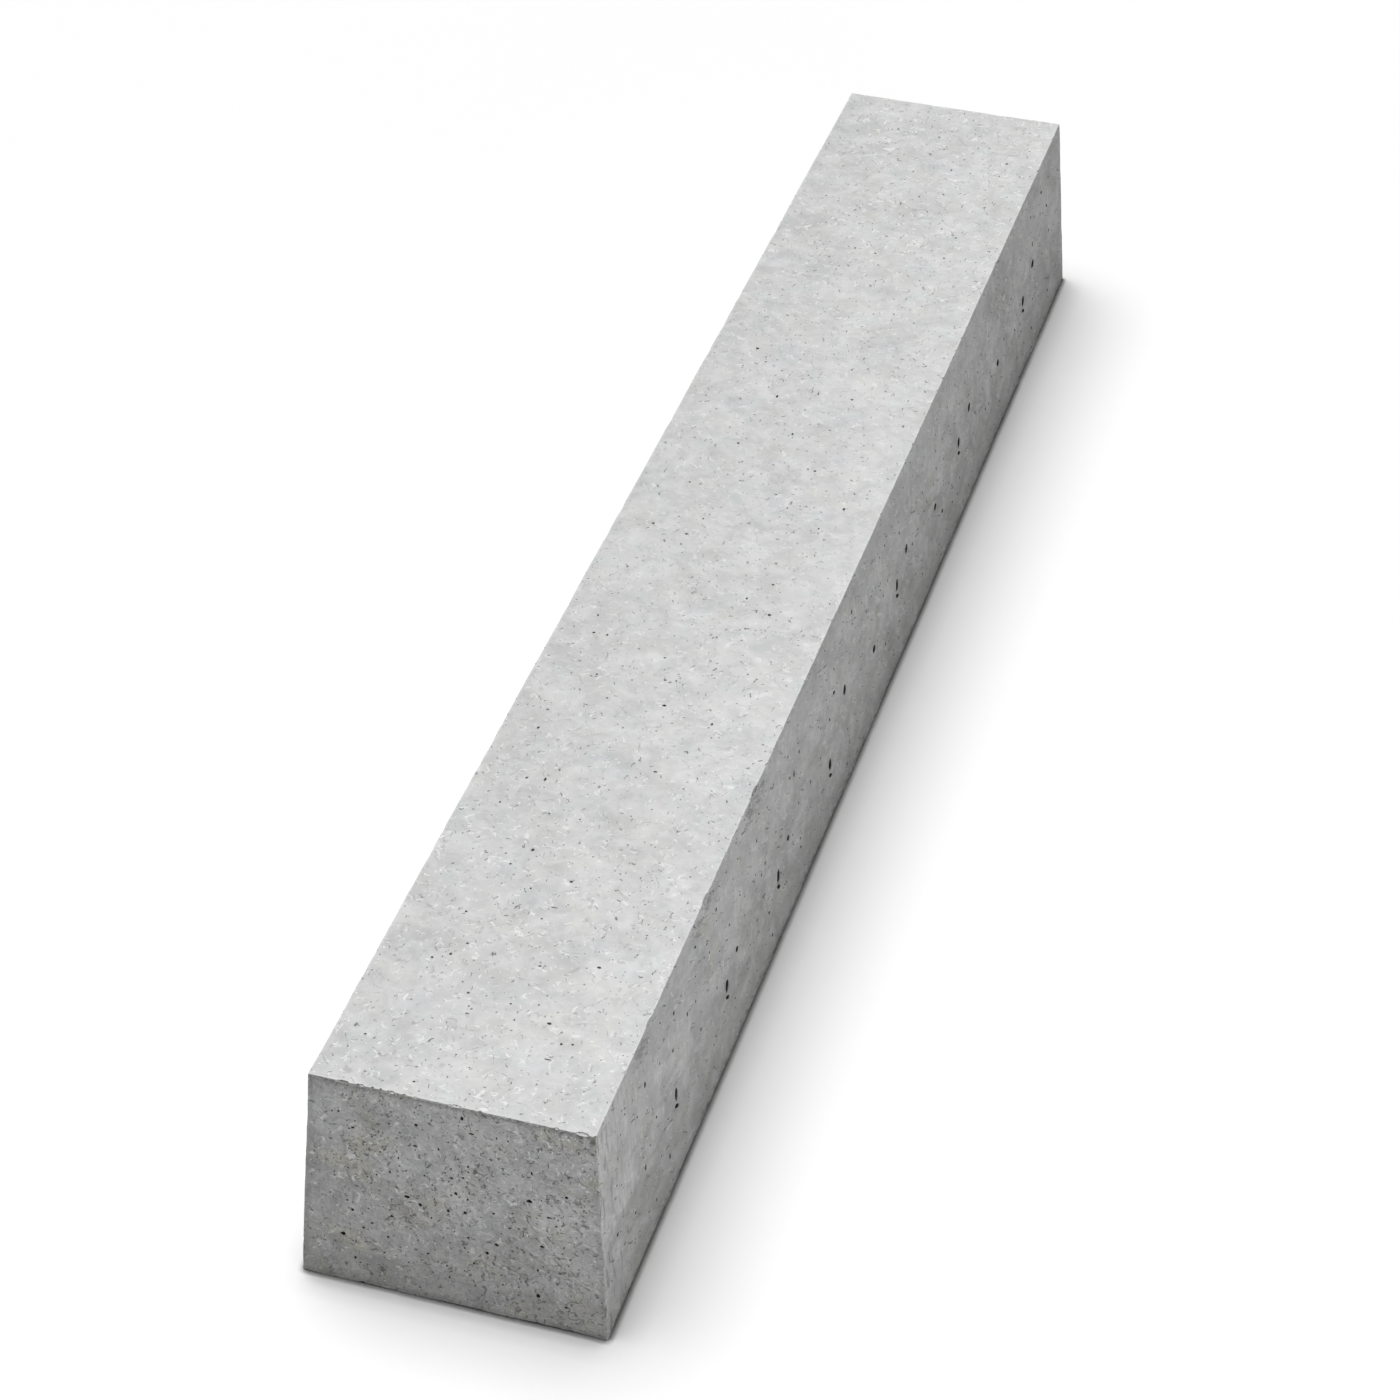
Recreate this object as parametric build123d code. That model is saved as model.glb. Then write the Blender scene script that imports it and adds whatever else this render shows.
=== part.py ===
from build123d import *
import os

# Precast concrete channel block: one solid bar with a flat top, laid on its bed
# and butted end to end with others to make the water channel along a road edge.
# It is cast in a tapered mould, so every side leans in from the bed to the top.
# Millimetres. +Y runs along the block, +X across it, +Z up from the bed.
# The origin is the middle of the bed.

# Outline of the bed, which is the widest part of the block
bed_width = 158.0
bed_length = 1000.0
height = 125.0

# Mould draft: how far a face leans in from upright, in degrees
side_draft = 3.4
end_draft = 5.2

# Rounding of the edges: the moulded ones, and the bed's, which is struck off level
arris_radius = 2.0
bed_arris_radius = 1.0


def make_channel_block():
    """The tapered bar: its cross-section carried along it, cut to its side elevation."""
    stand_on_bed = (Align.CENTER, Align.MIN)
    with BuildPart() as block:
        with BuildSketch(Plane.XZ):
            Trapezoid(bed_width, height, 90 - side_draft, align=stand_on_bed)
        extrude(amount=bed_length / 2, both=True)

        with BuildSketch(Plane.YZ):
            Trapezoid(bed_length, height, 90 - end_draft, align=stand_on_bed)
        extrude(amount=bed_width / 2, both=True, mode=Mode.INTERSECT)

        # The top's four edges and the four corners meet in one ball at each top corner
        bed_edges = block.faces().sort_by(Axis.Z).first.edges()
        moulded_edges = [edge for edge in block.edges() if edge not in bed_edges]
        fillet(moulded_edges, arris_radius)

        # The bed's outline, which now runs round the four rounded corners
        bed_outline = block.faces().sort_by(Axis.Z).first.edges()
        fillet(bed_outline, bed_arris_radius)

    return block.part


os.makedirs("parts", exist_ok=True)
export_step(make_channel_block(), "parts/channel_block.step")
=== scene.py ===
import bpy
import math
import numpy as np
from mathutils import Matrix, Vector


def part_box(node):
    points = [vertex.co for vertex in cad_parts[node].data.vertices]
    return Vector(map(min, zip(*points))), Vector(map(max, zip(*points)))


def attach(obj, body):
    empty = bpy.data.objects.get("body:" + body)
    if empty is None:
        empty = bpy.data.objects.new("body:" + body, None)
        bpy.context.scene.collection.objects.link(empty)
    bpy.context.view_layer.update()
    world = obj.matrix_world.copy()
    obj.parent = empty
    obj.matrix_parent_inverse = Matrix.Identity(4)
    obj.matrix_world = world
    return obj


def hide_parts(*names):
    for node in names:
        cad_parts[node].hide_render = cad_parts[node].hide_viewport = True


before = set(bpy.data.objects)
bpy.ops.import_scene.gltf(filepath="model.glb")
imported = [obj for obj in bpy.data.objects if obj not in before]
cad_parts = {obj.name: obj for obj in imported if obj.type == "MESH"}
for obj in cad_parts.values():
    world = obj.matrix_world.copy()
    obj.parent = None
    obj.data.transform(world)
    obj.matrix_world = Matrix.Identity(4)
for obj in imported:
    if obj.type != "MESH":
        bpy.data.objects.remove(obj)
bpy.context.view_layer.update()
mm = 0.001  # metres in a millimetre
low, high = (np.array(corner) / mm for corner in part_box("channel_block"))  # the block's own box, in mm
size = high - low
print("frame loaded, block of", size.round(1), "mm")


# Meshes from whole arrays

def newPiece(name, points, *faceSets):
    # points in mm, and an array of corner numbers for each kind of face, such as quads and triangles
    corners = np.concatenate([faces.ravel() for faces in faceSets])
    counts = np.concatenate([np.full(len(faces), faces.shape[1]) for faces in faceSets])
    mesh = bpy.data.meshes.new(name)
    mesh.vertices.add(len(points))
    mesh.vertices.foreach_set("co", (points * mm).astype(np.float32).ravel())
    mesh.loops.add(len(corners))
    mesh.loops.foreach_set("vertex_index", corners.astype(np.int32))
    mesh.polygons.add(len(counts))
    mesh.polygons.foreach_set("loop_start", (np.cumsum(counts) - counts).astype(np.int32))
    mesh.update(calc_edges=True)
    piece = bpy.data.objects.new(name, mesh)
    bpy.context.scene.collection.objects.link(piece)
    return piece


def waves(points, wavelength, seed, count=24, spread=(0.7, 1.4)):
    # Smooth random relief, mostly from -1 to 1: a sum of cosine waves in random directions,
    # each spread times the wavelength long and with a random phase.
    source = np.random.default_rng(seed)
    heading = source.normal(size=(count, 3))
    heading /= np.linalg.norm(heading, axis=1, keepdims=True)
    turns = 2 * np.pi / (wavelength * source.uniform(*spread, (count, 1)))
    phase = source.uniform(0, 2 * np.pi, count)
    return np.cos(points @ (heading * turns).T + phase).sum(1) / math.sqrt(count)


# The skin of the block: the six faces of a brick as grids, with rounded arrises and the mould's draft

skin = {
    "sideDraft": 3.4,             # degrees that the long sides lean in
    "endDraft": 5.2,              # degrees that the ends lean in
    "stepAlong": 4.0,             # mm between the grid lines along the block
    "stepAcross": 5.0,            # mm between them across it and up it
    "arrisLines": (0, 0.4, 0.8, 1.2, 1.7, 2.3, 3.2, 4.6),  # mm from each arris to its close lines
    "arrisRadius": (0.3, 0.8),    # mm where an arris is crisp, and where it is worn
    "bedRadius": (0.5, 1.4),      # the same along the struck-off bed
    "bedReach": 10,               # mm above the bed where the arrises have their own radius
    "wornOver": 45,               # mm, the length of worn and crisp stretches
    "wornSpread": 0.6,            # how sharply worn and crisp stretches part
    "swell": 0.35,                # mm that a cast face wanders from flat
    "swellOver": 90,              # mm, the length of a swell
    "swellSpread": 0.35,
    "sag": 0.25,                  # mm that a worn stretch of an arris lies below a straight one
    "sagOver": (14, 40),          # mm, the lengths of short and long sags
    "sagReach": 2,                # mm from an arris over which its sag fades
    "sharpAbove": 38,             # degrees between two faces that leave a sharp edge
}


def gridLine(length, step):
    # Distances along an edge: the close lines of the arris at either end, and even steps between them
    close = np.array(skin["arrisLines"])
    steps = int(round((length - 2 * close[-1]) / step))
    middle = np.linspace(close[-1], length - close[-1], steps + 1)
    return np.concatenate([close[:-1], middle, length - close[-2::-1]])


def brickSkin(counts):
    # Six grids on a lattice of counts points: a face across axis k is the grid of the two other axes
    # in the first or last layer. A point on a shared edge has one lattice number, so the skin is closed.
    quads = []
    for axis in range(3):
        second, third = (axis + 1) % 3, (axis + 2) % 3
        j, k = np.meshgrid(np.arange(counts[second] - 1), np.arange(counts[third] - 1), indexing="ij")
        for layer in (0, counts[axis] - 1):
            ring = [(0, 0), (1, 0), (1, 1), (0, 1)] if layer else [(0, 0), (0, 1), (1, 1), (1, 0)]
            corner = np.zeros((j.size, 4, 3), int)
            corner[:, :, axis] = layer
            corner[:, :, second] = j.reshape(-1, 1) + [step[0] for step in ring]
            corner[:, :, third] = k.reshape(-1, 1) + [step[1] for step in ring]
            quads.append(corner)
    number = np.ravel_multi_index(np.moveaxis(np.concatenate(quads), -1, 0), counts)
    kept, faces = np.unique(number, return_inverse=True)
    return np.stack(np.unravel_index(kept, counts), 1), faces.reshape(number.shape)


def leanIn(points):
    # Draft: a point's distance from the middle shrinks with its height, as the mould's walls lean in
    rise = points[:, 2] - low[2]
    lean = np.tan(np.radians([skin["sideDraft"], skin["endDraft"]])) / (size[:2] / 2)
    middle = (low + high)[:2] / 2
    leaned = points.copy()
    leaned[:, :2] = middle + (points[:, :2] - middle) * (1 - rise[:, None] * lean)
    return leaned


def castSkin():
    # The brick's grids with rounded arrises, less the cast relief, and then leaned in
    lines = [low[0] + gridLine(size[0], skin["stepAcross"]),
             low[1] + gridLine(size[1], skin["stepAlong"]),
             low[2] + gridLine(size[2], skin["stepAcross"])]
    lattice, faces = brickSkin([len(line) for line in lines])
    points = np.stack([lines[k][lattice[:, k]] for k in range(3)], 1)

    # Rounding: the nearest point of a brick that is smaller by the radius, plus the radius outwards
    worn = np.clip(0.5 + skin["wornSpread"] * waves(points, skin["wornOver"], seed=3), 0, 1)
    atBed = np.clip(1 - (points[:, 2] - low[2]) / skin["bedReach"], 0, 1)
    radii = [skin["arrisRadius"][k] * (1 - atBed) + skin["bedRadius"][k] * atBed for k in (0, 1)]
    radius = (radii[0] + (radii[1] - radii[0]) * worn)[:, None]
    inner = np.clip(points, low + radius, high - radius)
    outward = points - inner
    outward /= np.linalg.norm(outward, axis=1, keepdims=True)
    toArris = np.sort(np.minimum(points - low, high - points), 1)[:, 1]
    points = inner + outward * radius

    # Relief only takes away: a slow swell over the faces, and low stretches along the arrises
    swell = np.clip(0.5 + skin["swellSpread"] * waves(points, skin["swellOver"], seed=4), 0, 1)
    short, long = skin["sagOver"]
    sag = np.clip(waves(points, short, seed=5) + waves(points, long, seed=6), 0, None)
    taken = skin["swell"] * swell + skin["sag"] * sag * np.exp(-toArris / skin["sagReach"])
    onBed = outward[:, 2] < -0.5
    points = points - outward * np.where(onBed, 0, taken)[:, None]
    return newPiece("channel_block_cast", leanIn(points), faces)


castBlock = castSkin()
print("skin", len(castBlock.data.vertices), "points,", len(castBlock.data.polygons), "quads")


# Air holes, slits and chips: one mesh of small scoops that is cut out of the skin

# Each face of the straight brick: a corner of it, the directions of its two measures, and outwards
faceFrames = {
    "near": ((0, low[1], 0), (1, 0, 0), (0, 0, 1), (0, -1, 0)),
    "far": ((0, high[1], 0), (-1, 0, 0), (0, 0, 1), (0, 1, 0)),
    "right": ((high[0], low[1], 0), (0, 1, 0), (0, 0, 1), (1, 0, 0)),
    "left": ((low[0], high[1], 0), (0, -1, 0), (0, 0, 1), (-1, 0, 0)),
    "top": ((0, low[1], high[2]), (1, 0, 0), (0, 1, 0), (0, 0, 1)),
}

holes = {
    "segments": 9,
    # a scoop from its cap, which stays outside, to its floor: share of the radius, share of the depth
    "profile": ((0, 0.7), (1.05, 0.3), (1, -0.1), (0.85, -0.55), (0.5, -0.88), (0, -1)),
    "capDepth": 1.2,     # mm, the least depth that a cap's height is taken from
    "lumps": 0.16,       # share that a rim wanders from round
    "ringLumps": 0.048,  # share that each ring wanders by itself
    # larger holes seen on each face: two measures in mm, then half length, half width and depth
    "near": ((-24, 62, 1.5, 1.1, 1.8), (-53, 46, 0.9, 0.9, 1.4), (-32, 47.5, 0.9, 0.8, 1.4),
             (-2, 59, 0.9, 0.8, 1.4), (-19, 108, 1.0, 0.9, 1.4), (6, 118, 0.9, 1.2, 1.4),
             (11, 110, 1.7, 0.6, 1.2), (18, 38, 1.0, 1.0, 1.6), (47, 50, 1.2, 0.9, 1.5),
             (44, 18, 1.1, 1.4, 1.5), (-19.5, 95, 1.4, 0.6, 1.0), (-61.5, 106, 0.7, 0.7, 1.1),
             (-34, 33.5, 0.7, 0.7, 1.1), (-47, 36, 0.8, 0.7, 1.2), (61, 84, 0.9, 0.9, 1.2)),
    "top": ((29, 67, 1.3, 1.0, 1.3), (40, 55, 0.8, 0.9, 1.1), (37, 43, 2.2, 0.5, 0.8),
            (-15, 62, 1.7, 0.5, 0.7), (-48, 95, 0.8, 0.8, 1.0), (-33, 173, 0.7, 0.7, 1.0),
            (-43, 132, 0.8, 0.8, 1.0), (-20, 76, 0.8, 0.8, 1.0), (2, 148, 2.4, 0.5, 0.7),
            (-49, 241, 0.9, 0.9, 1.0), (-55, 371, 1.0, 0.9, 1.0),
            (-61, 34, 0.8, 0.7, 0.9), (-24, 10, 0.9, 0.7, 0.9), (19, 78, 0.6, 0.6, 0.8)),
    # slits stand upright on the long sides: distance from the near end, height and half length
    "slits": ((117, 50.6, 4.2), (205, 46, 4.2), (300.5, 42, 4.0), (405, 37, 3.8), (555, 55, 4.0),
              (708, 56, 4.0), (884, 53, 4.0), (439, 63.5, 3.6), (578, 65.5, 3.4), (735.5, 65, 3.4),
              (913, 65, 3.4), (502, 47, 2.6), (647.5, 48.5, 2.6), (812, 50, 2.6), (224, 54.7, 1.8),
              (321, 51.5, 1.8)),
    "slitHalf": (2.2, 3.4),      # half width in mm of a slit at the near end, and of one at the far end
    "slitDepth": 3.0,
    "dotted": 7,                 # how many of the slits, from the first, have a round hole under them
    "dotDrop": 7.6,              # mm from a slit's middle down to its round hole
    "dotSize": (3.7, 1.3, 2.6),  # half width, half height and depth of its round hole
    "lean": {"right": -0.68, "left": -0.68},  # how much wide marks drop along the long sides
    # the hidden faces get the same kinds of holes in other places: mm that they are moved by
    "farShift": (4, 3),
    "leftShift": (31, 6),
    "leftSpacing": 0.97,         # how far apart they are along the left side, beside the right one
    # seeded small holes: the stretch of each face that has them, in its two measures
    "span": {"near": (-60, 60, 8, 112), "far": (-60, 60, 8, 112), "top": (-60, 60, 20, 975),
             "right": (20, 975, 8, 112), "left": (20, 975, 8, 112)},
    "spacing": {"near": 11, "far": 11, "right": 21, "left": 21, "top": 26},  # mm between them
    "radius": {"near": 0.62, "far": 0.62, "right": 0.75, "left": 0.75, "top": 0.5},  # half are smaller
    "within": (0.05, 0.95),      # where in its share of the face a hole may lie
    "radiusSpread": 0.35,
    "radiusLimits": (0.65, 2.2),  # the smallest and largest beside that radius
    "oval": (0.7, 1.3),          # how long or wide they are beside round
    "depth": 1.3,                # their depth beside their radius
    "shade": {"top": 0.6},       # how much painted shade holes get on a face, where they aren't quite black
}

chips = {
    "spacing": 15,         # mm between chips along the arrises
    "within": (0.3, 0.7),  # where in its share of the arris a chip may lie
    "clear": 9,            # mm from a corner to the first chip
    "length": (0.6, 1.9),  # half lengths in mm
    "bite": (0.35, 0.8),   # depths in mm
    "rarity": 2.2,         # how much rarer long chips are than short ones
    "width": 1.4,          # half width beside the bite
    "over": 0.4,           # mm that a chip's scoop is deeper than its bite, for the rounded arris
    "shade": 0.15,         # how dark a chip's floor is beside a hole's: its share of the painted shade
    # flaked spots on the near top arris: place across, half length, half width, depth and shade
    "nearFlakes": ((3, 3.4, 1.7, 1.1, 0.1), (71.5, 4.0, 2.0, 1.3, 0.1), (-59, 3.0, 1.0, 0.9, 0.9),
                   (-51, 1.1, 0.9, 0.8, 0.9), (-43, 1.0, 1.1, 0.8, 0.9), (-38.5, 0.9, 1.2, 0.9, 0.9),
                   (-34, 0.9, 0.9, 0.7, 0.8), (-25.5, 1.1, 0.9, 0.8, 0.8), (-12.5, 1.1, 0.9, 0.7, 0.8),
                   (-7.5, 1.5, 0.8, 0.7, 0.9), (16, 1.4, 0.9, 0.8, 0.9), (48, 1.6, 0.9, 0.7, 0.6)),
    "nearOutward": (0, -0.5, 0.866),  # they bite mostly from above
    # flaked spots on the right top arris: place from the near end, then the same
    "rightFlakes": ((82, 5.0, 2.4, 0.9, 0.2), (177, 6.0, 2.8, 1.2, 0.3), (266, 6.5, 3.0, 1.3, 0.4)),
    "rightOutward": (0.95, 0, 0.312),  # they bite mostly from the side
    # the knocked corner: half length, half width, depth and shade, then its long and outward directions
    "cornerBite": (2.6, 2.0, 1.5, 0.2),
    "cornerAlong": (0.707, 0.707, 0),
    "cornerOutward": (0.577, -0.577, 0.577),
}


def scoops(centre, along, outward, sizes, seed):
    # Each scoop is the profile turned round its outward line: ring radius times half length and half
    # width across, depth along it. Random shares push each ring point in or out, so no rim is a circle.
    source = np.random.default_rng(seed)
    ring = np.linspace(0, 2 * np.pi, holes["segments"], endpoint=False)
    reach, rise = np.array(holes["profile"]).T
    lump = 1 + holes["lumps"] * source.uniform(-1, 1, (len(centre), 1, len(ring)))
    lump = lump + holes["ringLumps"] * source.uniform(-1, 1, (len(centre), len(rise), len(ring)))
    aside = np.cross(outward, along)
    spread = reach[None, :, None] * lump
    a = spread * np.cos(ring) * sizes[:, 0, None, None]
    b = spread * np.sin(ring) * sizes[:, 1, None, None]
    depth = np.where(rise > 0, np.maximum(sizes[:, 2:], holes["capDepth"]), sizes[:, 2:])
    c = (rise[None, :] * depth)[:, :, None] + 0 * a
    points = centre[:, None, None] + sum(part[..., None] * axis[:, None, None]
                                         for part, axis in ((a, along), (b, aside), (c, outward)))
    # the first and last rings are one point each, and the rings between are kept whole
    around = np.arange(len(ring))
    after = (around + 1) % len(ring)
    rings = points[:, 1:-1].reshape(len(centre), -1, 3)
    points = np.concatenate([points[:, :1, 0], rings, points[:, -1:, 0]], 1)
    last = rings.shape[1] + 1
    level = 1 + len(ring) * np.arange(len(rise) - 3)[:, None]
    below = level + len(ring)
    walls = np.stack([level + around, below + around, below + after, level + after], -1)
    cap = np.stack([0 * around, 1 + around, 1 + after], -1)
    floorFan = np.stack([0 * around + last, last - len(ring) + after, last - len(ring) + around], -1)
    start = ((last + 1) * np.arange(len(centre)))[:, None, None]
    return (points.reshape(-1, 3), (start + walls.reshape(-1, 4)).reshape(-1, 4),
            (start + np.concatenate([cap, floorFan])).reshape(-1, 3))


def onFace(face, marks):
    # Centres, long directions, outward directions, and sizes with a shade, of marks that lie on one face
    corner, first, second, outward = (np.array(part, float) for part in faceFrames[face])
    marks = np.array(marks, float)
    centre = corner + marks[:, :1] * first + marks[:, 1:2] * second
    leaning = first + holes["lean"].get(face, 0.0) * second
    leaning /= np.linalg.norm(leaning)
    along = np.where(marks[:, 2:3] >= marks[:, 3:4], leaning, second)
    ordered = np.sort(marks[:, 2:4], 1)[:, ::-1]
    shade = np.full((len(marks), 1), holes["shade"].get(face, 1.0))
    sizes = np.concatenate([ordered, marks[:, 4:], shade], 1)
    return centre, along, np.repeat(outward[None], len(marks), 0), sizes


def seededHoles(face, source):
    # One hole somewhere in each cell of a grid over the face, clear of its arrises: a few are large
    u0, u1, v0, v1 = holes["span"][face]
    step = holes["spacing"][face]
    cells = [max(1, int(round((end - start) / step))) for start, end in ((u0, u1), (v0, v1))]
    u, v = np.meshgrid(np.arange(cells[0]), np.arange(cells[1]), indexing="ij")
    u = u0 + (u.ravel() + source.uniform(*holes["within"], u.size)) * (u1 - u0) / cells[0]
    v = v0 + (v.ravel() + source.uniform(*holes["within"], v.size)) * (v1 - v0) / cells[1]
    share = np.exp(holes["radiusSpread"] * source.normal(size=u.size))
    radius = holes["radius"][face] * np.clip(share, *holes["radiusLimits"])
    oval = source.uniform(*holes["oval"], u.size)
    return np.stack([u, v, radius * oval, radius / oval, radius * holes["depth"]], 1)


def clearOf(marks, others, gap=1.5, lumpy=1.2):
    # Keeps the marks whose lumpy rims stay a gap in mm away from every other mark's rim
    apart = np.linalg.norm(marks[:, None, :2] - others[None, :, :2], axis=2)
    reach = marks[:, 2:4].max(1)[:, None] + others[:, 2:4].max(1)[None]
    return marks[(apart > reach * lumpy + gap).all(1)]


def faceMarks(source):
    # Each face's listed marks, and the seeded holes that stay clear of them
    away, height, half = np.array(holes["slits"], float).T
    width = np.interp(away, (0, size[1]), holes["slitHalf"])
    slits = np.stack([away, height, width, half, 0 * away + holes["slitDepth"]], 1)
    dots = slits[:holes["dotted"]].copy()
    dots[:, 1] -= holes["dotDrop"]
    dots[:, 2:] = holes["dotSize"]
    listed = {"near": np.array(holes["near"]), "top": np.array(holes["top"]),
              "right": np.concatenate([slits, dots])}
    listed["far"] = listed["near"] * (-1, 1, 1, 1, 1) + (*holes["farShift"], 0, 0, 0)
    listed["left"] = listed["right"] * (holes["leftSpacing"], 1, 1, 1, 1) + (*holes["leftShift"], 0, 0, 0)
    return {face: np.concatenate([marks, clearOf(seededHoles(face, source), marks)])
            for face, marks in listed.items()}


def arrisChips(source):
    # Chips sit on the arris lines of the brick: outwards is half way between the two faces that meet there
    centres, alongs, outwards, sizes = [], [], [], []
    step, clear = chips["spacing"], chips["clear"]
    for axis in range(3):
        second, third = (axis + 1) % 3, (axis + 2) % 3
        for a in (0, 1):
            for b in (0, 1):
                at = np.arange(low[axis] + clear, high[axis] - clear - step, step)
                at = at + source.uniform(*chips["within"], at.size) * step
                centre = np.zeros((at.size, 3))
                centre[:, axis] = at
                centre[:, second] = (low, high)[a][second]
                centre[:, third] = (low, high)[b][third]
                outward = np.zeros(3)
                outward[second], outward[third] = a - 0.5, b - 0.5
                outward = outward / np.linalg.norm(outward)
                share = source.uniform(0, 1, at.size) ** chips["rarity"]
                length, bite = (np.interp(share, (0, 1), chips[name]) for name in ("length", "bite"))
                centres.append(centre)
                alongs.append(np.repeat(np.eye(3)[axis][None], at.size, 0))
                outwards.append(np.repeat(outward[None], at.size, 0))
                sizes.append(np.stack([length, bite * chips["width"], bite + chips["over"],
                                       0 * bite + chips["shade"]], 1))
    top, near, right = high[2], low[1], high[0]
    spots = [((across, near, top), (1, 0, 0), chips["nearOutward"], rest)
             for across, *rest in chips["nearFlakes"]]
    spots += [((right, near + away, top), (0, 1, 0), chips["rightOutward"], rest)
              for away, *rest in chips["rightFlakes"]]
    spots.append(((right, near, top), chips["cornerAlong"], chips["cornerOutward"], chips["cornerBite"]))
    for listed, given in zip((centres, alongs, outwards, sizes), zip(*spots)):
        listed.append(np.array(given, float))
    return [np.concatenate(parts) for parts in (centres, alongs, outwards, sizes)]


def markCut(piece, values):
    # a number for each face, which stays with it through the cut: 0 on the skin, up to 1 in a hole: its
    # share of painted shade
    piece.data.attributes.new("cut", "FLOAT", "FACE").data.foreach_set("value", values.astype(np.float32))


def scoopPiece():
    # All the scoops as one mesh, each of its faces marked with its scoop's share of painted shade
    source = np.random.default_rng(17)
    groups = [onFace(face, marks) for face, marks in faceMarks(source).items()]
    groups.append(arrisChips(source))
    centre, along, outward, sizes = (np.concatenate(parts) for parts in zip(*groups))
    points, quads, triangles = scoops(centre, along, outward, sizes[:, :3], seed=23)
    print("scoops", len(centre))
    piece = newPiece("scoops", leanIn(points), quads, triangles)
    shades = [np.repeat(sizes[:, 3], len(faces) // len(centre)) for faces in (quads, triangles)]
    markCut(piece, np.concatenate(shades))
    return piece


def cutAway(piece, cutter):
    # Takes the cutter out of the piece and leaves a plain mesh
    cut = piece.modifiers.new("scoops", "BOOLEAN")
    cut.operation = "DIFFERENCE"
    cut.solver = "MANIFOLD"
    cut.object = cutter
    graph = bpy.context.evaluated_depsgraph_get()
    mesh = bpy.data.meshes.new_from_object(piece.evaluated_get(graph))
    piece.modifiers.clear()
    piece.data = mesh
    bpy.data.objects.remove(cutter)


markCut(castBlock, np.zeros(len(castBlock.data.polygons)))
cutAway(castBlock, scoopPiece())


def corners(mesh):
    # a mesh's points in mm
    points = np.zeros(len(mesh.vertices) * 3, np.float32)
    mesh.vertices.foreach_get("co", points)
    return points.reshape(-1, 3) / mm


def faceDistances(points):
    # mm from each point to the planes of the block's six faces, smallest first: the first is how deep
    # the point lies under its own face, the second how far it is from an arris
    rise = points[:, 2:] - low[2]
    half = size[:2] / 2 - rise * np.tan(np.radians([skin["sideDraft"], skin["endDraft"]]))
    sides = half - np.abs(points[:, :2] - (low + high)[:2] / 2)
    return np.sort(np.concatenate([sides, rise, size[2] - rise], 1), 1)


mesh = castBlock.data
nearest, second = faceDistances(corners(mesh)).T[:2]
for name, values in (("holeDepth", nearest), ("toArris", second)):
    mesh.attributes.new(name, "FLOAT", "POINT").data.foreach_set("value", values.astype(np.float32))
mesh.polygons.foreach_set("use_smooth", np.ones(len(mesh.polygons), bool))
mesh.set_sharp_from_angle(angle=math.radians(skin["sharpAbove"]))
mesh.calc_loop_triangles()
print("cut block", len(mesh.vertices), "points,", len(mesh.loop_triangles), "triangles")

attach(castBlock, "root")
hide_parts("channel_block")


# Materials

def linear(hexColour):
    # sRGB hex to the linear colour that shaders take
    values = [int(hexColour[k:k + 2], 16) / 255 for k in (1, 3, 5)]
    return [v / 12.92 if v <= 0.04045 else ((v + 0.055) / 1.055) ** 2.4 for v in values] + [1.0]


def addNode(tree, kind, inputs=None, out=0, **settings):
    # One node: settings by name, inputs by name or number, each a value or an output to link from
    node = tree.nodes.new("ShaderNode" + kind)
    for name, value in settings.items():
        setattr(node, name, value)
    for key, value in (inputs or {}).items():
        if isinstance(value, bpy.types.NodeSocket):
            tree.links.new(value, node.inputs[key])
        else:
            node.inputs[key].default_value = value
    return node.outputs[out] if node.outputs else node


def newTree(owner):
    # an empty node tree for a material or the world
    owner.use_nodes = True
    owner.node_tree.nodes.clear()
    return owner.node_tree


def perMm(length):
    # texture scale that makes one feature about this many mm across
    return 1 / (length * mm)


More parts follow.
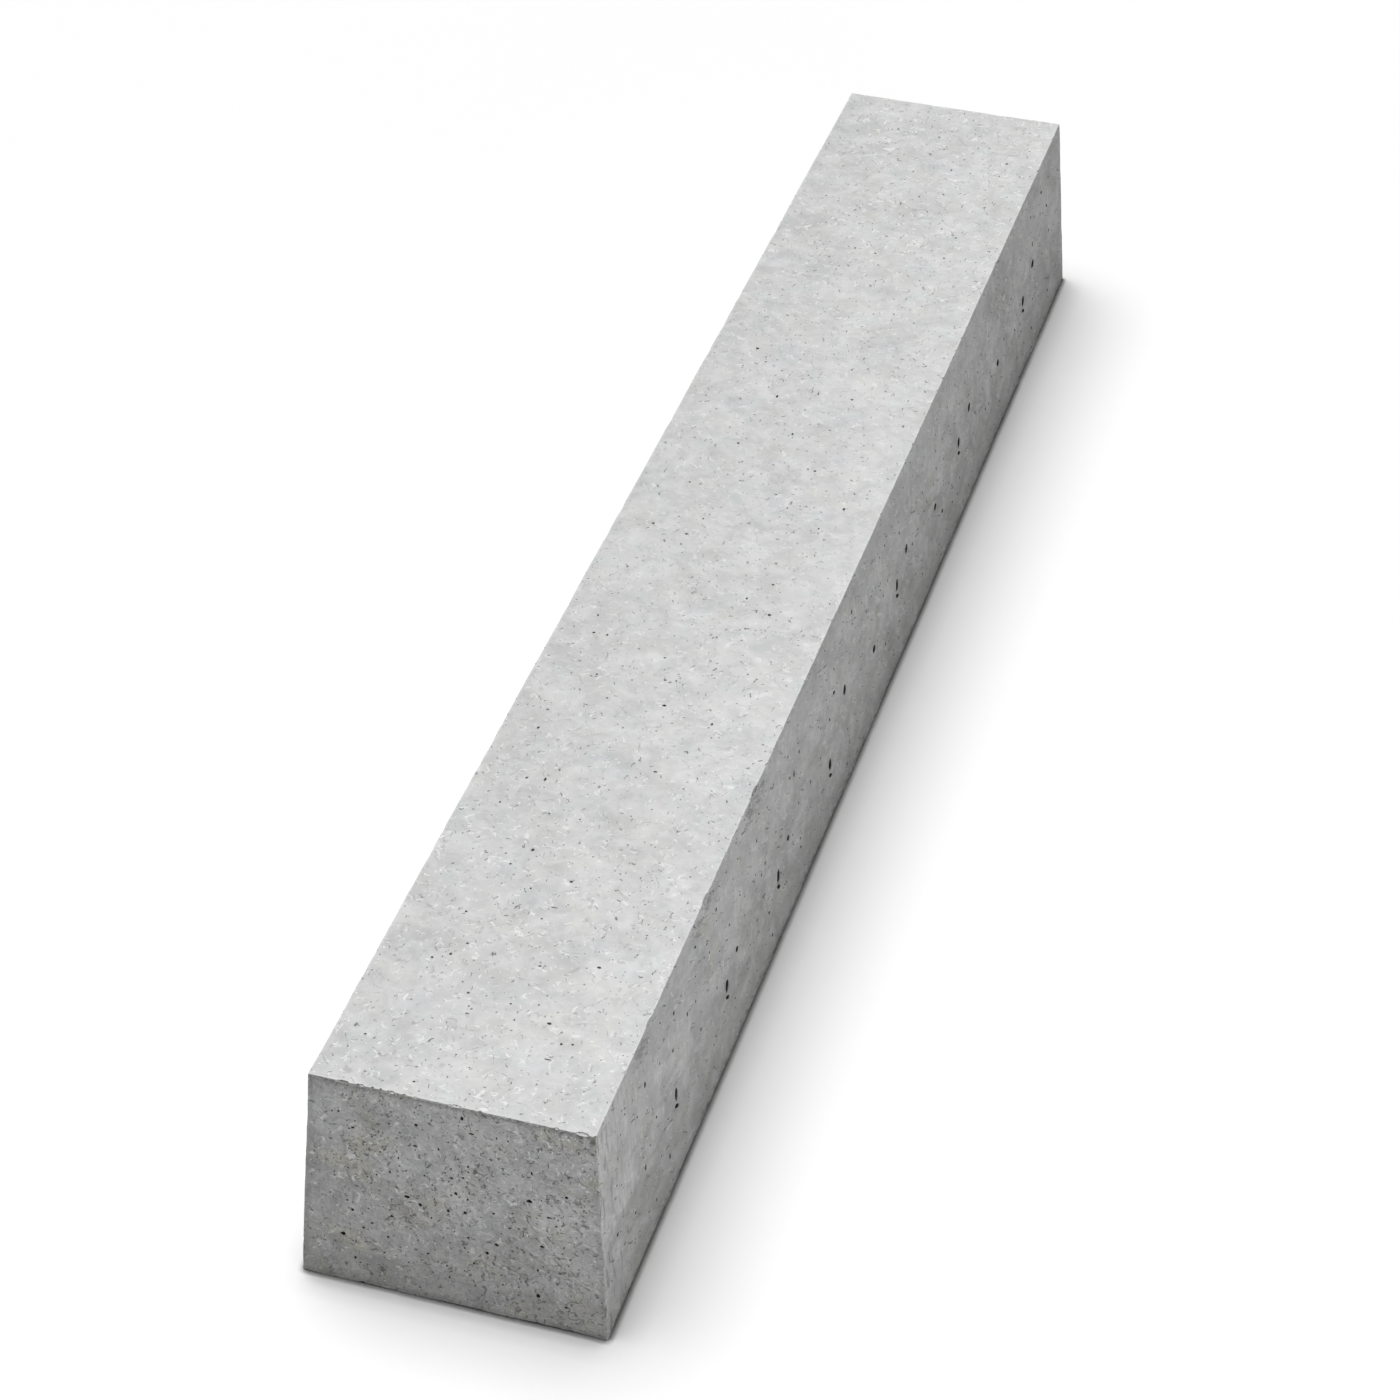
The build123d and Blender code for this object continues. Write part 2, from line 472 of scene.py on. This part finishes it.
# As-cast precast concrete: grey cement paste that dried against an oiled steel mould. It gives the eye
# a matt pale grey with soft clouds, thin films of paler paste, pin holes with pale rims, ragged pits and
# curved strokes, most of them on the ends, and pale upright runs on the long sides, where air rose.
concrete = {
    "paste": "#cfcfcf",
    "warmPaste": "#d2d0c6",
    "coolPaste": "#c9cecf",
    "paleSkinAndHighlight": "#f4f4f3",     # the pale skin of flakes, rims and runs, and the painted highlight on strokes' lips and the top's arrises
    # painted shade in the holes and the pin holes
    "paintedHoleShade": "#201f1d",
    "pitShade": "#5c5c5a",
    # a dark grey: the faces darker towards the bed, the bruises, and the painted shade along the bed and
    # under the ends' arrises
    "darkening": "#7a7a77",
    "roughness": 0.9,
    "ior": 1.5,
    "facing": (0.6, 0.85),     # how far a point faces an axis where that kind of face starts, and is full
    "crowded": (0.6, 1.15),    # strength of the top's marks at the middle of the block, and at its ends

    # each layer of light and dark: size in mm, stretch along x, y and z, detail, roughness, distortion,
    # how much of the noise's range it uses, then its strength in the colour, its relief in mm, its faces;
    # the grain is coarser than real sand and cement, so that it shows from where the camera stands
    "layers": {
        "clouds": (70, (1, 1, 1), 3, 0.5, 0.0, 1.0, 0.16, 0.0, "all"),
        "blotches": (17, (1.2, 1, 1), 3, 0.6, 0.8, 1.0, 0.45, 0.0, "all"),
        "grain": (2.4, (1.15, 1, 1), 3, 0.8, 0.0, 1.0, 0.12, 0.09, "all"),
        "patches": (26, (1, 1.2, 1), 4, 0.55, 0.0, 1.0, 0.55, 0.0, "upright"),
        "runs": (9, (1, 1, 3), 3, 0.6, 0.0, 0.6, 0.06, 0.04, "side"),
        "grit": (3.3, (1, 1.2, 1), 3, 0.75, 0.0, 1.0, 0.22, 0.15, "upright"),
        "curls": (6.0, (1, 1, 1), 3, 0.7, 2.2, 0.7, 0.62, 1.4, "end"),
    },
    "fine": (2.2, 0.5),        # on the long sides, how much longer marks are, and how much they drop
    "broad": (1.4, 0.25),      # the same for broad layers
    "fineBelow": 5,            # mm, layers of a smaller size are fine

    "acrossBrightness": (0.936, 1.034),  # brightness at the left and at the right, paler to the right
    "alongBrightness": (-0.002, -0.004),  # added to it at the near and at the far end
    "paleNear": (40, 0.06),    # mm from the near end where it grows paler still, and by how much there
    "uprightShade": {"side": -0.075, "end": -0.052},  # painted shade added to it on the upright faces

    # films of thin paste, patches with a crisp edge
    "film": {"Scale": perMm(11), "Detail": 4.0, "Roughness": 0.6, "Distortion": 0.8},
    "filmSteps": (0.455, 0.54),  # noise at which one film ends and the next begins
    "filmEdge": 0.008,         # half the range of noise over which one ends
    "filmTint": 0.045,         # how much brighter each film is than the one under it

    # the slow noise of warm and cool patches
    "hue": {"Scale": perMm(20), "Detail": 4.0, "Roughness": 0.6},
    "warm": (0.555, 0.68),     # noise where warm patches start, and where they are full
    "warmShare": {"top": 0.2, "side": 0.4, "end": 1.0},
    "cool": (0.46, 0.32),
    "coolShare": {"top": 0.6, "upright": 0.3},
    "rough": (0.44, 0.56),     # the same noise where the ends go from smooth to rough
    "roughBy": (-0.045, 0.085),  # added to it at the left and at the right

    "fleck": {"Scale": perMm(4.2), "Detail": 3.0, "Roughness": 0.65, "Distortion": 1.0},
    "fleckSpan": (0.595, 0.655),  # noise where flecks start, and where they are full
    "fleckShare": {"marked": 0.6, "end": 1.0, "side": 0.5},

    "runSize": (3.0, 13),      # mm, the width and length of the pale runs on the long sides
    "runSpan": (0.6, 0.72),    # noise where they start, and where they are full
    "runPatches": (0.45, 0.54),  # noise of the patches where runs start, and where they are full
    "runShare": 0.45,
    "strokeSpan": (0.43, 0.35),  # the runs' noise where thin dark strokes start between them, and are full
    "strokeReach": (70, 0.5),  # mm from the near end where those start, and their share there

    "pit": {"Scale": perMm(2.5), "Detail": 3.0, "Roughness": 0.6, "Distortion": 0.9},
    "pitScale": (1, 0.75, 1),  # they are longer along the block
    "pitStart": {"top": 0.67, "end": 0.6, "side": 0.655},  # noise above which there is a pit
    "pitRise": 0.035,          # added to that on smooth stretches of the ends
    "pitSlope": 0.028,         # how much more noise a pit takes to be full
    "pitShare": 0.75,

    "wisp": {"Scale": perMm(15), "Detail": 1.0, "Distortion": 0.6},  # the sweep of the curved strokes
    "wispBreak": {"Scale": perMm(4.2), "Detail": 1.0},  # what breaks them into short ones
    "wispSpan": (0.54, 0.61),  # noise of the breaks where strokes start, and where they are full
    "wispShare": {"marked": 0.45, "end": 1.0, "side": 0.1},
    "wispDrop": 0.8,           # how much fainter they are on smooth stretches of the ends
    # the two lines of a stroke: the sweep's noise there, how far from it they start and are full, share
    "groove": (0.5, 0.020, 0.006, 0.45),
    # the lip is raised a little, and pale from a painted highlight
    "litLip": (0.542, 0.022, 0.006, 0.5),

    "pinSpacing": 8.5,         # mm between pin holes
    "pinRadius": 0.85,         # mm, the largest
    "pinRim": 0.55,            # mm, the width of the pale rim
    "pinRimShare": 0.5,
    "pinBare": 0.5,            # share of the spaces that have none
    "pinLeast": (0.015, 0.05),  # radius beside the spacing where a pin starts to show, and is full
    "pinEdge": 0.03,           # width of a dot's soft edge beside the spacing
    "pinShare": {"top": 0.5, "upright": 0.75},

    "darkeningRise": (75, 5),      # mm above the bed where the faces start to darken, and where they are darkest
    "darkeningWander": 100,        # mm that its edge goes up and down
    "darkeningShare": {"side": 0.42, "end": 0.357},
    "bedLine": (4.0, 0.5),     # mm above the bed where a line of painted shade starts, and where it is strongest
    "bedWander": 24,           # mm
    "bedShare": {"side": 0.35, "end": 0.14},
    "breaks": (0.2, 2.0, 4.2),  # mm below an end's arris where a line of painted shade in small breaks starts, peaks and ends
    "breakWander": 7,          # mm
    "breakSpan": (0.42, 0.58),  # noise of the curls where they are faint, and where strong
    "breakShare": (0.25, 0.9),
    "breakHeight": (112, 119),  # mm above the bed where they grow from weak to full
    "breakWeak": 0.3,          # their share below that

    # dark mottled patches on the right side under the top arris: mm from the near end, height, half length
    "bruises": ((79, 118.5, 12), (172, 117.5, 12), (188, 118.5, 7), (261, 118, 12), (279, 117.5, 7)),
    "bruiseShape": 0.62,       # their half height beside their half length
    "bruiseRagged": 7,         # half lengths that the grit moves their edge by
    "bruiseEdge": (-2.5, -3.5),  # half lengths, with the grit taken off, where they start and are full
    "bruiseShare": 0.6,

    "paleArris": (1.6, 0.4),   # mm from the top's arrises where a painted highlight starts, and where it is full
    "paleArrisShare": 0.25,
    "rags": (6.0, 1.5),        # mm from the upright arrises where the sides' pale rags start, and are full
    "ragSpan": (0.46, 0.56),   # noise of the curls that have them
    "ragShare": 0.3,
    "holeShade": (0.1, 0.7),   # mm under the face where the painted shade on a hole's wall starts, and where it is darkest
    "holeRim": 0.5,            # how strong that painted shade is at the start

    "relief": {"pin": -0.3, "pit": -0.45, "groove": -0.35, "litLip": 0.15},  # mm that they stand out
}

material = bpy.data.materials.new("castConcrete")
tree = newTree(material)
place = addNode(tree, "TexCoord", out="Object")
x, y, z = addNode(tree, "SeparateXYZ", {0: place}).node.outputs
(left, near), (right, far) = low[:2] * mm, high[:2] * mm  # the bed's edges in metres, as x and y are

# which kind of face a point lies on
looking = addNode(tree, "SeparateXYZ", {0: addNode(tree, "NewGeometry", out="True Normal")}).node.outputs
onFaceKind = {}
start, full = concrete["facing"]
for kind, axis in (("side", 0), ("end", 1), ("top", 2)):
    towards = addNode(tree, "Math", {0: looking[axis]}, operation="ABSOLUTE")
    onFaceKind[kind] = addNode(tree, "MapRange", {0: towards, 1: start, 2: full})
onFaceKind["upright"] = addNode(tree, "Math", {0: 1.0, 1: onFaceKind["top"]}, operation="SUBTRACT")
awayFromMiddle = addNode(tree, "Math", {0: y}, operation="ABSOLUTE")
middle, ends = concrete["crowded"]
crowded = addNode(tree, "MapRange", {0: awayFromMiddle, 1: 0.0, 2: far, 3: middle, 4: ends})
onFaceKind["marked"] = addNode(tree, "Math", {0: onFaceKind["top"], 1: crowded}, operation="MULTIPLY")


def shareByFace(shares):
    # the share of the face kind that a point lies on
    total = 0.0
    for kind, part in shares.items():
        total = addNode(tree, "Math", {0: onFaceKind[kind], 1: part, 2: total}, operation="MULTIPLY_ADD")
    return total


# on the long sides, where the mix slid along the mould, marks are longer along the block and lean
drawn = {}
for name in ("fine", "broad"):
    longer, drop = concrete[name]
    shorten = shareByFace({"top": 1.0, "end": 1.0, "side": 1 / longer})
    drawnY = addNode(tree, "Math", {0: y, 1: shorten}, operation="MULTIPLY")
    drawnZ = addNode(tree, "Math", {0: y, 1: shareByFace({"side": drop}), 2: z}, operation="MULTIPLY_ADD")
    drawn[name] = addNode(tree, "CombineXYZ", {0: x, 1: drawnY, 2: drawnZ})

# how bright the paste is from side to side and along the block, with painted shade on the upright faces
leftBright, rightBright = concrete["acrossBrightness"]
bright = addNode(tree, "MapRange", {0: x, 1: left, 2: right, 3: leftBright, 4: rightBright})
nearBright, farBright = concrete["alongBrightness"]
along = addNode(tree, "MapRange", {0: y, 1: near, 2: far, 3: nearBright, 4: farBright})
reach, most = concrete["paleNear"]
paleNear = addNode(tree, "MapRange", {0: y, 1: near + reach * mm, 2: near, 3: 0.0, 4: most})
for part in (along, shareByFace(concrete["uprightShade"]), paleNear):
    bright = addNode(tree, "Math", {0: bright, 1: part}, operation="ADD")

# every layer is a noise about 0.5; its departure from that is added to the brightness and the relief
relief, noises = 0.0, {}
for name, (length, stretch, detail, rough, distort, span, tint, lift, kind) in concrete["layers"].items():
    base = drawn["fine" if length < concrete["fineBelow"] else "broad"]
    base = addNode(tree, "Mapping", {"Vector": base, "Scale": [1 / part for part in stretch]})
    noises[name] = addNode(tree, "TexNoise", {"Vector": base, "Scale": perMm(length), "Detail": detail,
                                              "Roughness": rough, "Distortion": distort})
    centred = addNode(tree, "MapRange", {0: noises[name], 1: 0.5 - span / 2, 2: 0.5 + span / 2,
                                         3: -0.5, 4: 0.5})
    if kind != "all":
        centred = addNode(tree, "Math", {0: centred, 1: onFaceKind[kind]}, operation="MULTIPLY")
    bright = addNode(tree, "Math", {0: centred, 1: tint, 2: bright}, operation="MULTIPLY_ADD")
    if lift:
        relief = addNode(tree, "Math", {0: centred, 1: lift, 2: relief}, operation="MULTIPLY_ADD")

# thin films of paste: a slow noise in flat steps, so each patch has a crisp edge
film = addNode(tree, "TexNoise", {"Vector": drawn["broad"], **concrete["film"]})
for step in concrete["filmSteps"]:
    start, full = step - concrete["filmEdge"], step + concrete["filmEdge"]
    stepped = addNode(tree, "MapRange", {0: film, 1: start, 2: full, 3: -0.5, 4: 0.5})
    bright = addNode(tree, "Math", {0: stepped, 1: concrete["filmTint"], 2: bright},
                     operation="MULTIPLY_ADD")

# faint warm and cool patches some centimetres across
hue = addNode(tree, "TexNoise", {"Vector": place, **concrete["hue"]})
colour = linear(concrete["paste"])
for name in ("warm", "cool"):
    start, full = concrete[name]
    share = addNode(tree, "MapRange", {0: hue, 1: start, 2: full})
    shares = shareByFace(concrete[name + "Share"])
    share = addNode(tree, "Math", {0: share, 1: shares}, operation="MULTIPLY")
    colour = addNode(tree, "Mix", {0: share, 6: colour, 7: linear(concrete[name + "Paste"])},
                     out=2, data_type="RGBA")
colour = addNode(tree, "VectorMath", {0: colour, "Scale": bright}, operation="SCALE")

# marks on the ends come in clusters, more of them to the right, with smooth paste between them
leftRough, rightRough = concrete["roughBy"]
roughBy = addNode(tree, "MapRange", {0: x, 1: left, 2: right, 3: leftRough, 4: rightRough})
smooth = addNode(tree, "Math", {0: hue, 1: roughBy}, operation="ADD")
start, full = concrete["rough"]
smooth = addNode(tree, "MapRange", {0: smooth, 1: start, 2: full, 3: 1.0, 4: 0.0})
smoothEnd = addNode(tree, "Math", {0: smooth, 1: onFaceKind["end"]}, operation="MULTIPLY")

# every mark is a tint: the name of its colour, and the shares whose product is how much of it shows
tints = []

# pale flecks where a flake of paste came away clean
fleck = addNode(tree, "TexNoise", {"Vector": drawn["fine"], **concrete["fleck"]})
start, full = concrete["fleckSpan"]
fleck = addNode(tree, "MapRange", {0: fleck, 1: start, 2: full})
tints.append(("paleSkinAndHighlight", fleck, shareByFace(concrete["fleckShare"])))

# pale upright runs on the long sides, with thin dark strokes between them beside the near end
width, length = concrete["runSize"]
base = addNode(tree, "Mapping", {"Vector": place, "Scale": (1, 1, width / length)})
upright = addNode(tree, "TexNoise", {"Vector": base, "Scale": perMm(width), "Detail": 1.0})
start, full = concrete["runSpan"]
run = addNode(tree, "MapRange", {0: upright, 1: start, 2: full, 3: 0.0, 4: concrete["runShare"]})
start, full = concrete["runPatches"]
runPatches = addNode(tree, "MapRange", {0: noises["patches"], 1: start, 2: full})
tints.append(("paleSkinAndHighlight", run, runPatches, onFaceKind["side"]))
reach, most = concrete["strokeReach"]
strokeReach = addNode(tree, "MapRange", {0: y, 1: near + reach * mm, 2: near, 3: 0.0, 4: most})
start, full = concrete["strokeSpan"]
stroke = addNode(tree, "MapRange", {0: upright, 1: start, 2: full})
tints.append(("pitShade", stroke, strokeReach, onFaceKind["side"]))

# ragged pits: where a fine noise is highest, most of them on the ends
base = addNode(tree, "Mapping", {"Vector": drawn["fine"], "Scale": concrete["pitScale"]})
pit = addNode(tree, "TexNoise", {"Vector": base, **concrete["pit"]})
pit = addNode(tree, "Math", {0: pit, 1: shareByFace(concrete["pitStart"])}, operation="SUBTRACT")
pit = addNode(tree, "Math", {0: smoothEnd, 1: -concrete["pitRise"], 2: pit}, operation="MULTIPLY_ADD")
pit = addNode(tree, "MapRange", {0: pit, 1: 0.0, 2: concrete["pitSlope"]})
tints.append(("pitShade", pit, concrete["pitShare"]))

# curved strokes: short stretches of a slow noise's contour, a dark groove beside a raised lip with a
# painted highlight
sweep = addNode(tree, "TexNoise", {"Vector": place, **concrete["wisp"]})
kept = addNode(tree, "TexNoise", {"Vector": place, **concrete["wispBreak"]})
kept = addNode(tree, "Math", {0: roughBy, 1: onFaceKind["end"], 2: kept}, operation="MULTIPLY_ADD")
start, full = concrete["wispSpan"]
kept = addNode(tree, "MapRange", {0: kept, 1: start, 2: full})
kept = addNode(tree, "Math", {0: smoothEnd, 1: -concrete["wispDrop"], 2: kept},
               operation="MULTIPLY_ADD", use_clamp=True)
kept = addNode(tree, "Math", {0: kept, 1: shareByFace(concrete["wispShare"])}, operation="MULTIPLY")
marks = {"pit": pit}
for name, tint in (("groove", "pitShade"), ("litLip", "paleSkinAndHighlight")):
    contour, start, full, share = concrete[name]
    away = addNode(tree, "Math", {0: sweep, 1: contour}, operation="SUBTRACT")
    away = addNode(tree, "Math", {0: away}, operation="ABSOLUTE")
    line = addNode(tree, "MapRange", {0: away, 1: start, 2: full})
    marks[name] = addNode(tree, "Math", {0: line, 1: kept}, operation="MULTIPLY")
    tints.append((tint, marks[name], share))

# pin holes: a dark dot of painted shade with a pale rim in about half of the cells that lie flat on each
# face
fineY, fineZ = addNode(tree, "SeparateXYZ", {0: drawn["fine"]}).node.outputs[1:]
flatX = addNode(tree, "Mix", {0: onFaceKind["side"], 2: x, 3: fineY})
flatY = addNode(tree, "Mix", {0: onFaceKind["top"], 2: fineZ, 3: y})
spacing = concrete["pinSpacing"]
toPin = addNode(tree, "TexVoronoi", {"Vector": addNode(tree, "CombineXYZ", {0: flatX, 1: flatY}),
                                     "Scale": perMm(spacing)},
                out="Distance", voronoi_dimensions="2D")
luck = addNode(tree, "SeparateXYZ", {0: toPin.node.outputs["Color"]})
pinSize = addNode(tree, "MapRange", {0: luck, 1: concrete["pinBare"], 2: 1.0,
                                     3: 0.0, 4: concrete["pinRadius"] / spacing})
inside = addNode(tree, "Math", {0: pinSize, 1: toPin}, operation="SUBTRACT")
rim = addNode(tree, "MapRange", {0: inside, 1: -concrete["pinRim"] / spacing, 2: 0.0,
                                 3: 0.0, 4: concrete["pinRimShare"]})
start, full = concrete["pinLeast"]
hasPin = addNode(tree, "MapRange", {0: pinSize, 1: start, 2: full})
dot = addNode(tree, "MapRange", {0: inside, 1: 0.0, 2: concrete["pinEdge"]})
marks["pin"] = addNode(tree, "Math", {0: dot, 1: hasPin}, operation="MULTIPLY")
tints.append(("paleSkinAndHighlight", rim, hasPin))
tints.append(("paintedHoleShade", marks["pin"], shareByFace(concrete["pinShare"])))

# the faces grow darker towards the bed with a patchy edge, with a thin broken line of painted shade along
# it
darkening = 0.0
for name, noise, line in (("darkening", "blotches", "darkeningRise"), ("bed", "grit", "bedLine")):
    wander = concrete[name + "Wander"] * mm
    rise = addNode(tree, "Math", {0: noises[noise], 1: wander, 2: -wander / 2}, operation="MULTIPLY_ADD")
    rise = addNode(tree, "Math", {0: z, 1: rise}, operation="ADD")
    start, full = concrete[line]
    part = addNode(tree, "MapRange", {0: rise, 1: start * mm, 2: full * mm})
    darkening = addNode(tree, "Math", {0: part, 1: shareByFace(concrete[name + "Share"]), 2: darkening},
                    operation="MULTIPLY_ADD")

# painted shade: a dark line of small breaks runs under the ends' arrises
toArris = addNode(tree, "Attribute", out="Fac", attribute_name="toArris")
wander = concrete["breakWander"]
under = addNode(tree, "Math", {0: noises["curls"], 1: wander, 2: -wander / 2}, operation="MULTIPLY_ADD")
under = addNode(tree, "Math", {0: toArris, 1: under}, operation="ADD")
start, peak, ending = concrete["breaks"]
breaks = addNode(tree, "MapRange", {0: under, 1: start, 2: peak})
beyond = addNode(tree, "MapRange", {0: under, 1: ending, 2: peak})
start, full = concrete["breakSpan"]
faint, strong = concrete["breakShare"]
uneven = addNode(tree, "MapRange", {0: noises["curls"], 1: start, 2: full, 3: faint, 4: strong})
start, full = (height * mm for height in concrete["breakHeight"])
aloft = addNode(tree, "MapRange", {0: z, 1: start, 2: full, 3: concrete["breakWeak"], 4: 1.0})
for part in (beyond, uneven, aloft):
    breaks = addNode(tree, "Math", {0: breaks, 1: part}, operation="MULTIPLY")
darkening = addNode(tree, "Math", {0: breaks, 1: onFaceKind["end"], 2: darkening}, operation="MULTIPLY_ADD",
                use_clamp=True)
tints.append(("darkening", darkening))

# bruises: half lengths from the nearest spot on the right side, made ragged by the grit
shape = concrete["bruiseShape"]
upwards = addNode(tree, "Math", {0: z, 1: shape}, operation="DIVIDE")
flatRight = addNode(tree, "CombineXYZ", {0: y, 1: upwards})
apart = []
for away, height, half in concrete["bruises"]:
    spot = (near + away * mm, height * mm / shape, 0.0)
    toSpot = addNode(tree, "VectorMath", {0: flatRight, 1: spot}, out="Value", operation="DISTANCE")
    apart.append(addNode(tree, "Math", {0: toSpot, 1: half * mm}, operation="DIVIDE"))
bruise = apart[0]
for other in apart[1:]:
    bruise = addNode(tree, "Math", {0: other, 1: bruise}, operation="MINIMUM")
bruise = addNode(tree, "Math", {0: noises["grit"], 1: -concrete["bruiseRagged"], 2: bruise},
                 operation="MULTIPLY_ADD")
start, full = concrete["bruiseEdge"]
bruise = addNode(tree, "MapRange", {0: bruise, 1: start, 2: full, 3: 0.0, 4: concrete["bruiseShare"]})
onRight = addNode(tree, "Math", {0: x, 1: 0.0}, operation="GREATER_THAN")
tints.append(("darkening", bruise, onFaceKind["side"], onRight))

# a painted highlight along the top's arrises
start, full = concrete["paleArris"]
arrisHighlight = addNode(tree, "MapRange", {0: toArris, 1: start, 2: full, 3: 0.0, 4: concrete["paleArrisShare"]})
tints.append(("paleSkinAndHighlight", arrisHighlight, onFaceKind["top"]))

# pale rags of paste on the long sides beside the upright arrises, where the mould's plates met
endLean = math.tan(math.radians(skin["endDraft"]))
towardsEnd = addNode(tree, "Math", {0: z, 1: endLean, 2: awayFromMiddle}, operation="MULTIPLY_ADD")
start, full = (far - away * mm for away in concrete["rags"])
rags = addNode(tree, "MapRange", {0: towardsEnd, 1: start, 2: full, 3: 0.0, 4: concrete["ragShare"]})
start, full = concrete["ragSpan"]
torn = addNode(tree, "MapRange", {0: noises["curls"], 1: start, 2: full})
tints.append(("paleSkinAndHighlight", rags, torn, onFaceKind["side"]))

# painted shade on the walls of the larger holes, darker with their depth under the face
depth = addNode(tree, "Attribute", out="Fac", attribute_name="holeDepth")
start, full = concrete["holeShade"]
depth = addNode(tree, "MapRange", {0: depth, 1: start, 2: full, 3: concrete["holeRim"], 4: 1.0})
tints.append(("paintedHoleShade", depth, addNode(tree, "Attribute", out="Fac", attribute_name="cut")))

for name, share, *others in tints:
    for other in others:
        share = addNode(tree, "Math", {0: share, 1: other}, operation="MULTIPLY")
    colour = addNode(tree, "Mix", {0: share, 6: colour, 7: linear(concrete[name])}, out=2, data_type="RGBA")
for name, lift in concrete["relief"].items():
    relief = addNode(tree, "Math", {0: marks[name], 1: lift, 2: relief}, operation="MULTIPLY_ADD")
bump = addNode(tree, "Bump", {"Height": relief, "Distance": mm, "Strength": 1.0})
shader = addNode(tree, "BsdfPrincipled", {"Base Color": colour, "Roughness": concrete["roughness"],
                                          "IOR": concrete["ior"], "Normal": bump})
addNode(tree, "OutputMaterial", {"Surface": shader})
castBlock.data.materials.clear()
castBlock.data.materials.append(material)
print("concrete done")


# Floor, light and camera

studio = {
    "floorHalf": 4000,        # mm from the middle of the floor to its edges
    "bounce": "#d2d2d2",      # what the floor gives back to the block
    "background": "#ffffff",
    # painted contact shadow: mm from the block within which the floor darkens, and how strongly
    "contact": ((3.6, 3.5), (18, 0.24)),
    "contactFrom": (-0.32, 0.56, 0.85),  # towards the light that the block keeps off the floor there
    "contactSamples": 2,
    "softbox": 56,            # degrees across, seen from the block
    "softboxUp": 3000,        # mm
    "fromLeft": 11,           # degrees that the softbox stands to the left of overhead
    "fromBack": 6,
    "softboxStrength": 0.985 * math.pi,  # an upward face renders about as its colour is written
    "ambient": 0.03,
    "fillAt": (1100, -1100, 350),  # mm, a weak lamp beside the near right corner
    "fillTo": (0, -350, 60),  # mm, what it points at
    "fillSize": 500,          # mm
    "fillWatts": 2.9,
}


def plainlySeen(tree):
    # 1 for rays from the camera, straight or by a mirror or glass, and 0 for those that carry light
    rays = addNode(tree, "LightPath").node.outputs
    seen = addNode(tree, "Math", {0: rays["Is Camera Ray"], 1: rays["Is Glossy Ray"]}, operation="MAXIMUM")
    return addNode(tree, "Math", {0: seen, 1: rays["Is Transmission Ray"]}, operation="MAXIMUM")


edge = studio["floorHalf"]
floorCorners = np.array([(-edge, -edge, 0), (edge, -edge, 0), (edge, edge, 0), (-edge, edge, 0)], float)
floor = newPiece("floor", floorCorners, np.array([[0, 1, 2, 3]]))

# White paper, uncoated and matt: it gives the eye an even white with only the block's soft shadow on it,
# and a painted contact shadow close to the block
paper = bpy.data.materials.new("whitePaper")
tree = newTree(paper)
towardsLight = addNode(tree, "CombineXYZ", dict(enumerate(studio["contactFrom"])))
# a painted contact shadow: the floor's colour darkens where the block closes off its hemisphere
paintedContactShadow = 1.0
for reach, strength in studio["contact"]:
    openFloor = addNode(tree, "AmbientOcclusion", {"Distance": reach * mm, "Normal": towardsLight},
                        out="AO", samples=studio["contactSamples"])
    openFloor = addNode(tree, "Math", {0: openFloor, 1: strength}, operation="POWER")
    paintedContactShadow = addNode(tree, "Math", {0: paintedContactShadow, 1: openFloor}, operation="MULTIPLY")
shown = addNode(tree, "BsdfDiffuse", {"Color": paintedContactShadow})
bounce = addNode(tree, "BsdfDiffuse", {"Color": linear(studio["bounce"])})
shader = addNode(tree, "MixShader", {0: plainlySeen(tree), 1: bounce, 2: shown})
addNode(tree, "OutputMaterial", {"Surface": shader})
floor.data.materials.append(paper)


def newLamp(name, kind, place, turn):
    # a lamp at a place in mm, turned from pointing straight down
    lamp = bpy.data.lights.new(name, kind)
    holder = bpy.data.objects.new(name, lamp)
    holder.location = np.array(place) * mm
    holder.rotation_euler = turn
    bpy.context.scene.collection.objects.link(holder)
    return lamp


softboxTurn = (math.radians(-studio["fromBack"]), math.radians(-studio["fromLeft"]), 0)
softbox = newLamp("softbox", "SUN", (0, 0, studio["softboxUp"]), softboxTurn)
softbox.angle = math.radians(studio["softbox"])
softbox.energy = studio["softboxStrength"]
fillAim = np.array(studio["fillAt"]) - studio["fillTo"]
fillTurn = (math.acos(fillAim[2] / np.linalg.norm(fillAim)), 0, math.atan2(fillAim[0], -fillAim[1]))
fill = newLamp("fill", "AREA", studio["fillAt"], fillTurn)
fill.size = studio["fillSize"] * mm
fill.energy = studio["fillWatts"]

world = bpy.data.worlds.new("studio")
bpy.context.scene.world = world
tree = newTree(world)
background = linear(studio["background"])
shown = addNode(tree, "Background", {"Color": background, "Strength": 1.0})
ambient = addNode(tree, "Background", {"Color": background, "Strength": studio["ambient"]})
shader = addNode(tree, "MixShader", {0: plainlySeen(tree), 1: ambient, 2: shown})
addNode(tree, "OutputWorld", {"Surface": shader})

view = {
    "lookAt": (22.6, -165.6, 125.0),  # mm, a point on the top face
    "distance": 1927.4,               # mm from there
    "azimuth": 17.04,                 # degrees round to the right of the near end
    "elevation": 38.65,
    "lens": 93.37,                    # mm
    "sensor": 36,                     # mm
}
azimuth, elevation = math.radians(view["azimuth"]), math.radians(view["elevation"])
backwards = np.array([math.cos(elevation) * math.sin(azimuth), -math.cos(elevation) * math.cos(azimuth),
                      math.sin(elevation)])
camera = bpy.data.cameras.new("camera")
camera.lens = view["lens"]
camera.sensor_width = view["sensor"]
eye = bpy.data.objects.new("camera", camera)
eye.location = (np.array(view["lookAt"]) + view["distance"] * backwards) * mm
eye.rotation_euler = (math.pi / 2 - elevation, 0, azimuth)
bpy.context.scene.collection.objects.link(eye)
bpy.context.scene.camera = eye
bpy.context.scene.view_settings.view_transform = "Standard"
print("studio done")
